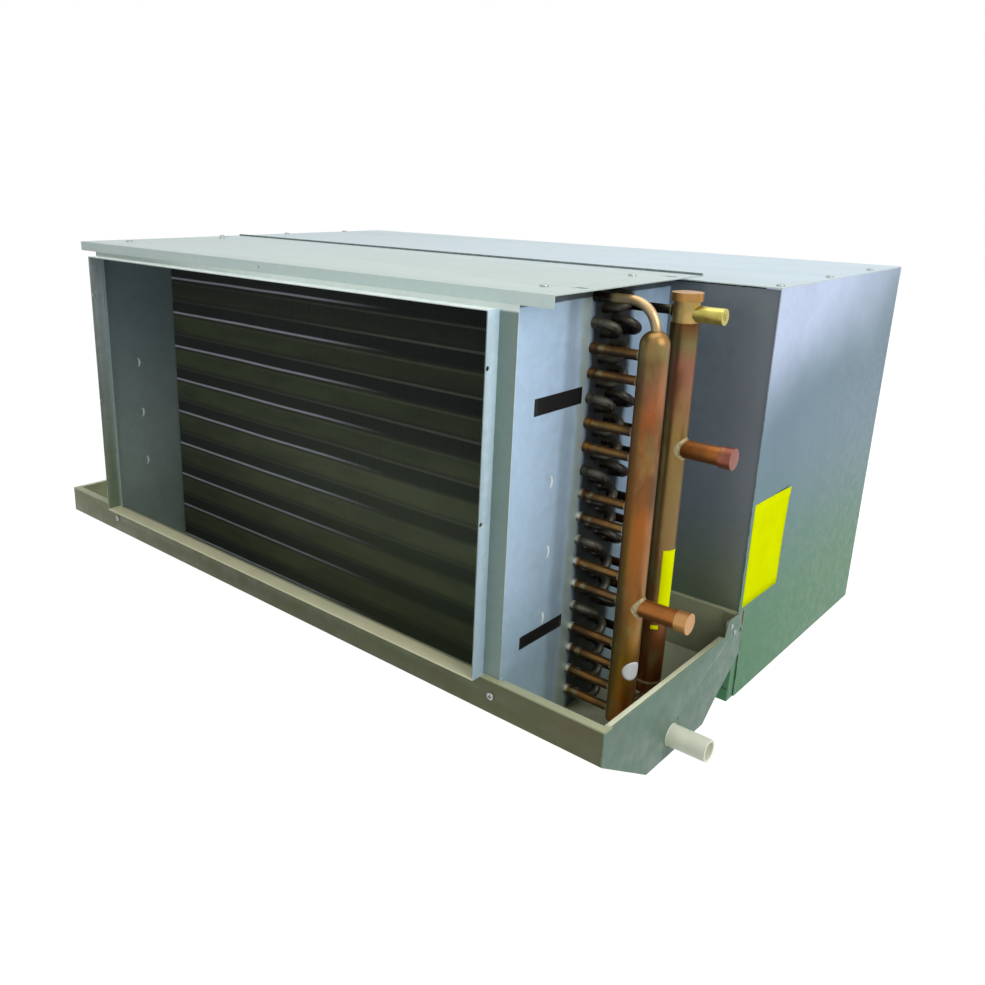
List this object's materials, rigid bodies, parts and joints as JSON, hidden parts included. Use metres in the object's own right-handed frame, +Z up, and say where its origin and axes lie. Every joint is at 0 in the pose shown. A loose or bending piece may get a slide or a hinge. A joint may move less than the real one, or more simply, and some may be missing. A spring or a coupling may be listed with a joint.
{
  "type": "marine fan coil unit",
  "caption": "Ducted fan coil unit with a finned water coil, copper headers, a drain pan and a sheet metal fan box with centrifugal blowers.",
  "frame": {"origin": "on the flat bottom of the drain pan, under the middle of the coil block", "axes": "+X along the coil towards the headers, +Y from the duct spigot to the return side, +Z up"},
  "size_m": [1.0107, 0.696, 0.4802],
  "materials": {
    "galvanised_sheet": "galvanised sheet with a soft sheen",
    "pan_coating": "coated sheet, satin",
    "fin_stock": "coil fins, dull",
    "copper_tube": "brazed copper with heat tint",
    "brass_fitting": "machined brass",
    "drain_plastic": "moulded plastic",
    "end_cap": "plastic cap",
    "motor_paint": "enamel",
    "cast_aluminium": "cast, fine grain",
    "core_steel": "laminated steel",
    "shaft_steel": "ground steel",
    "black_rubber": "moulded rubber",
    "capacitor_shell": "moulded plastic",
    "filter_cloth": "washable filter mat",
    "zinc_fastener": "zinc plated"
  },
  "bodies": {
    "chassis": {"coil_side_right": "galvanised_sheet", "coil_side_left": "galvanised_sheet", "coil_top_panel": "galvanised_sheet", "coil_top_channel": "galvanised_sheet", "coil_feet": "galvanised_sheet", "duct_collar": "galvanised_sheet", "fan_deck": "galvanised_sheet", "fan_bottom": "galvanised_sheet", "fan_top": "galvanised_sheet", "fan_side_right": "galvanised_sheet", "fan_side_left": "galvanised_sheet", "return_frame": "galvanised_sheet", "filter_frame": "galvanised_sheet", "blower_wrap_right": "galvanised_sheet", "blower_wrap_left": "galvanised_sheet", "blower_cheek_right_outer": "galvanised_sheet", "blower_cheek_right_inner": "galvanised_sheet", "blower_cheek_left_outer": "galvanised_sheet", "blower_cheek_left_inner": "galvanised_sheet", "outlet_blank": "galvanised_sheet", "motor_cradle": "galvanised_sheet", "motor_clamps": "galvanised_sheet", "terminal_box": "galvanised_sheet", "terminal_cover": "galvanised_sheet", "pan_angles": "galvanised_sheet", "drain_pan_tray": "pan_coating", "pan_end_right": "pan_coating", "pan_end_left": "pan_coating", "coil_fin_block": "fin_stock", "return_bends_right": "copper_tube", "return_bends_left": "copper_tube", "front_stubs": "copper_tube", "rear_stubs": "copper_tube", "feed_tubes": "copper_tube", "front_header": "copper_tube", "rear_header": "copper_tube", "front_connection": "copper_tube", "rear_connection": "copper_tube", "header_neck": "brass_fitting", "header_cap": "brass_fitting", "vent_body": "brass_fitting", "drain_stub": "drain_plastic", "connection_caps": "end_cap", "motor_shell": "motor_paint", "motor_end_bells": "cast_aluminium", "stator_core": "core_steel", "motor_bearings": "shaft_steel", "motor_rubber_rings": "black_rubber", "cable_bushing": "black_rubber", "run_capacitor": "capacitor_shell", "filter_media": "filter_cloth", "panel_screws": "zinc_fastener", "pan_rivets": "zinc_fastener"},
    "rotor": {"motor_shaft": "shaft_steel", "rotor_core": "core_steel", "blower_wheel_right": "galvanised_sheet", "blower_wheel_left": "galvanised_sheet", "blower_blades_right": "galvanised_sheet", "blower_blades_left": "galvanised_sheet"},
    "bleed_screw": {"vent_screw": "brass_fitting"}
  },
  "joints": [
    {"name": "rotor_spin", "type": "hinge", "parent": "chassis", "child": "rotor", "pos_m": [0, 0.3, 0.215], "axis": [1, 0, 0], "continuous": true},
    {"name": "bleed_turn", "type": "hinge", "parent": "chassis", "child": "bleed_screw", "pos_m": [0.4685, 0.02857, 0.45], "axis": [1, 0, 0], "range_deg": [0, 360]}
  ]
}
